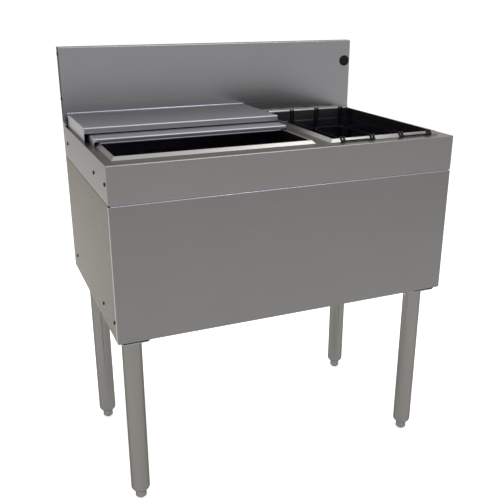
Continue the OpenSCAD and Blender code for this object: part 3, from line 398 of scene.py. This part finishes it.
def bendRackWires(look):
    middle, front, deck = look["leftMiddle"], look["front"], look["deck"]
    length, corner, width = look["length"], look["hoopCorner"], look["hoopWidth"]
    thick, floor = look["wire"], deck + look["floor"]
    hoopLevels = [deck + look["upperHoop"], floor]
    toRight, upward = (1, 0, 0), (0, 0, 1)
    wires = []

    # the two hoops
    quarter = ("turn", 90, corner, upward)
    across = ("run", width - 2 * corner)
    down = ("run", length - 2 * look["hoopIn"] - 2 * corner)
    for level in hoopLevels:
        start = (middle - width / 2 + corner, front + look["hoopIn"], level)
        wires.append(bentWire(start, toRight, thick, [across, quarter, down, quarter] * 2,
                              closed=True))

    # the floor's cross wires
    spacing = (length - 2 * look["floorInset"]) / (look["floorWires"] - 1)
    for i in range(look["floorWires"]):
        start = (middle - width / 2 - thick / 2, front + look["floorInset"] + i * spacing,
                 floor + look["stack"])
        wires.append(bentWire(start, toRight, thick, [("run", width + thick)]))

    # the hangers over the rim at each end, and the bars that join them
    barStart = middle - look["barLength"] / 2
    bar = [("run", look["barLength"])]
    barY, barZ = look["outerBar"]
    rise = look["crest"] - look["floor"] + look["hangerTail"]
    for foot, inward in ((front, 1), (front + length, -1)):
        for x in [h + s * look["hairpin"] / 2 for h in look["hangers"] for s in (-1, 1)]:
            start = (middle + x, foot + inward * look["hangerIn"], floor - look["hangerTail"])
            wires.append(bentWire(start, upward, thick, [
                ("run", rise), ("turn", look["overBend"], look["bend"], (inward, 0, 0)),
                ("run", look["slope"])]))
        wires.append(bentWire((barStart, foot + inward * barY, deck + barZ), toRight, thick, bar))
        for level in hoopLevels:
            start = (barStart, foot + inward * look["hoopIn"], level + look["stack"])
            wires.append(bentWire(start, toRight, thick, bar))
    return wires


# Applies the modifier that was added last
def applyModifier(piece):
    bpy.ops.object.modifier_apply(modifier=piece.modifiers[-1].name)


# Joins the wires and fuses them under one skin
def dipWires(wires, look):
    bpy.ops.object.select_all(action="DESELECT")
    for wire in wires:
        wire.select_set(True)
    bpy.context.view_layer.objects.active = wires[0]
    bpy.ops.object.join()
    rack = bpy.context.object
    bpy.ops.object.modifier_add(type="REMESH")
    rack.modifiers[-1].mode = "VOXEL"
    rack.modifiers[-1].voxel_size = look["voxel"] / 1000
    applyModifier(rack)
    bpy.ops.object.modifier_add(type="SMOOTH")
    rack.modifiers[-1].factor = look["smoothing"]
    rack.modifiers[-1].iterations = look["smoothRounds"]
    applyModifier(rack)
    bpy.ops.object.shade_smooth()
    rack.data.materials.append(vinylWire)
    return rack


def makeRacks(look):
    left = dipWires(bendRackWires(look), look)
    left.name = "leftRackDipped"
    bpy.ops.object.select_all(action="DESELECT")
    left.select_set(True)
    bpy.context.view_layer.objects.active = left
    bpy.ops.object.duplicate()
    right = bpy.context.object
    right.name = "rightRackDipped"
    bpy.ops.transform.translate(value=(look["pitch"] / 1000, 0, 0))
    bpy.ops.object.transform_apply(location=True, rotation=True, scale=True)
    for piece, side in ((left, "left"), (right, "right")):
        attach(piece, side + "_rack")
        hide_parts(side + "_bottle_rack")


makeRacks(bottleRack)
print("bottle racks dipped")


# Painted highlight lines: thin rods in a pale colour that stand in for the bright lines light
# makes along edges. The rear cover's line and the front panel lap's line lie where the CAD sheet
# is plain, the front cover's over the hem that the CAD has. Places and sizes are in mm.
highlightEdges = {
    "rearCoverHighlightLine": {"body": "rear_cover", "slot": "cover_sheet",
                     "from": (-373.9, 212.2, 790.9), "long": 445.0, "thick": 2.8},
    "frontCoverHemHighlight": {"body": "front_cover", "slot": "cover_sheet",
                      "from": (-351.9, -50.8, 766.5), "long": 404.8, "thick": 3.5},
    "frontPanelBendHighlight": {"body": "cabinet", "slot": "stainless_sheet",
                       "from": (-378.5, -240.55, 685.2), "long": 757.0, "thick": 1.4},
}
edgeEnds = {
    "round": 0.125,      # of the thickness, taken off round each end
    "rings": 2,
    "bevelOver": 50,     # degrees, the angle past which a corner is rounded
    "smoothUnder": 40,   # degrees, the angle up to which faces shade as one
}


def makeEdge(name, look):
    edge = bentWire(look["from"], (1, 0, 0), look["thick"], [("run", look["long"])])
    edge.name = name
    bpy.ops.object.modifier_add(type="BEVEL")
    bevel = edge.modifiers[-1]
    bevel.width = look["thick"] * edgeEnds["round"] / 1000
    bevel.segments = edgeEnds["rings"]
    bevel.limit_method = "ANGLE"
    bevel.angle_limit = math.radians(edgeEnds["bevelOver"])
    applyModifier(edge)
    bpy.ops.object.shade_smooth_by_angle(angle=math.radians(edgeEnds["smoothUnder"]))
    edge.data.materials.append(highlightSteel)
    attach(edge, look["body"])


for name, look in highlightEdges.items():
    makeEdge(name, look)
# the rods made here are painted highlight lines, not real hems or bends
print("hems and bend rolled")


# Floor, world and lamps
studio = {
    "floorSize": 120.0,          # m
    "floorColour": "e8e8e8",
    "floorGlow": 0.66,           # added where the camera and reflections see the floor
    "skyFill": 0.45,             # of the world's white that lights the object
}


# 1 for camera, glossy and transmission rays, so that metal reflects the white that shows
def whiteForCamera(tree):
    path = addNode(tree, "ShaderNodeLightPath")
    total = path.outputs["Is Camera Ray"]
    for ray in ("Is Glossy Ray", "Is Transmission Ray"):
        total = addNode(tree, "ShaderNodeMath", links={0: total, 1: path.outputs[ray]},
                        operation="MAXIMUM").outputs["Value"]
    return total


def makeFloor(look):
    bpy.ops.object.select_all(action="DESELECT")
    bpy.ops.mesh.primitive_plane_add(size=look["floorSize"], location=(0, 0, 0))
    floor = bpy.context.object
    floor.name = "studioFloor"
    material = bpy.data.materials.new("paleStudioFloor")
    tree = emptyTree(material)
    out = addNode(tree, "ShaderNodeOutputMaterial")
    paint = addNode(tree, "ShaderNodeBsdfDiffuse", {"Color": srgb(look["floorColour"])})
    amount = addNode(tree, "ShaderNodeMath", {1: look["floorGlow"]}, {0: whiteForCamera(tree)},
                     operation="MULTIPLY")
    glow = addNode(tree, "ShaderNodeEmission", {"Color": srgb("ffffff")},
                   {"Strength": amount.outputs["Value"]})
    both = addNode(tree, "ShaderNodeAddShader",
                   links={0: paint.outputs["BSDF"], 1: glow.outputs["Emission"]})
    tree.links.new(both.outputs["Shader"], out.inputs["Surface"])
    floor.data.materials.append(material)


def makeWorld(look):
    world = bpy.data.worlds.new("studioWorld")
    scene.world = world
    tree = emptyTree(world)
    out = addNode(tree, "ShaderNodeOutputWorld")
    strength = addNode(tree, "ShaderNodeMapRange", {"To Min": look["skyFill"], "To Max": 1.0},
                       {"Value": whiteForCamera(tree)})
    sky = addNode(tree, "ShaderNodeBackground", {"Color": srgb("ffffff")},
                  {"Strength": strength.outputs["Result"]})
    tree.links.new(sky.outputs["Background"], out.inputs["Surface"])


# Places, aims and sizes are in m
lamps = {
    "overheadSoftbox": {"place": (-0.2, 0.8, 2.6), "aim": (0, 0.1, 0.8), "size": (5.0, 4.0),
                        "watts": 75.0, "colour": "f4f5fb"},
    "frontStrip": {"place": (0.66, -0.95, 2.6), "aim": (0.1, -0.2, 0.77), "size": (1.5, 0.45),
                   "watts": 13.0, "colour": "fffdf8"},
    "leftSoftbox": {"place": (-3.2, -0.2, 2.2), "aim": (0, 0, 0.6), "size": (1.6, 1.6),
                    "watts": 5.0, "colour": "fff6e6"},
}


def makeLamp(name, look):
    bpy.ops.object.light_add(type="AREA", location=look["place"])
    lamp = bpy.context.object
    lamp.name = name
    lamp.data.shape = "RECTANGLE"
    lamp.data.size, lamp.data.size_y = look["size"]
    lamp.data.energy = look["watts"]
    lamp.data.color = srgb(look["colour"])[:3]
    aim = Vector(look["aim"]) - Vector(look["place"])
    lamp.rotation_euler = aim.to_track_quat("-Z", "Y").to_euler()


makeFloor(studio)
makeWorld(studio)
for name, look in lamps.items():
    makeLamp(name, look)
print("studio ready")
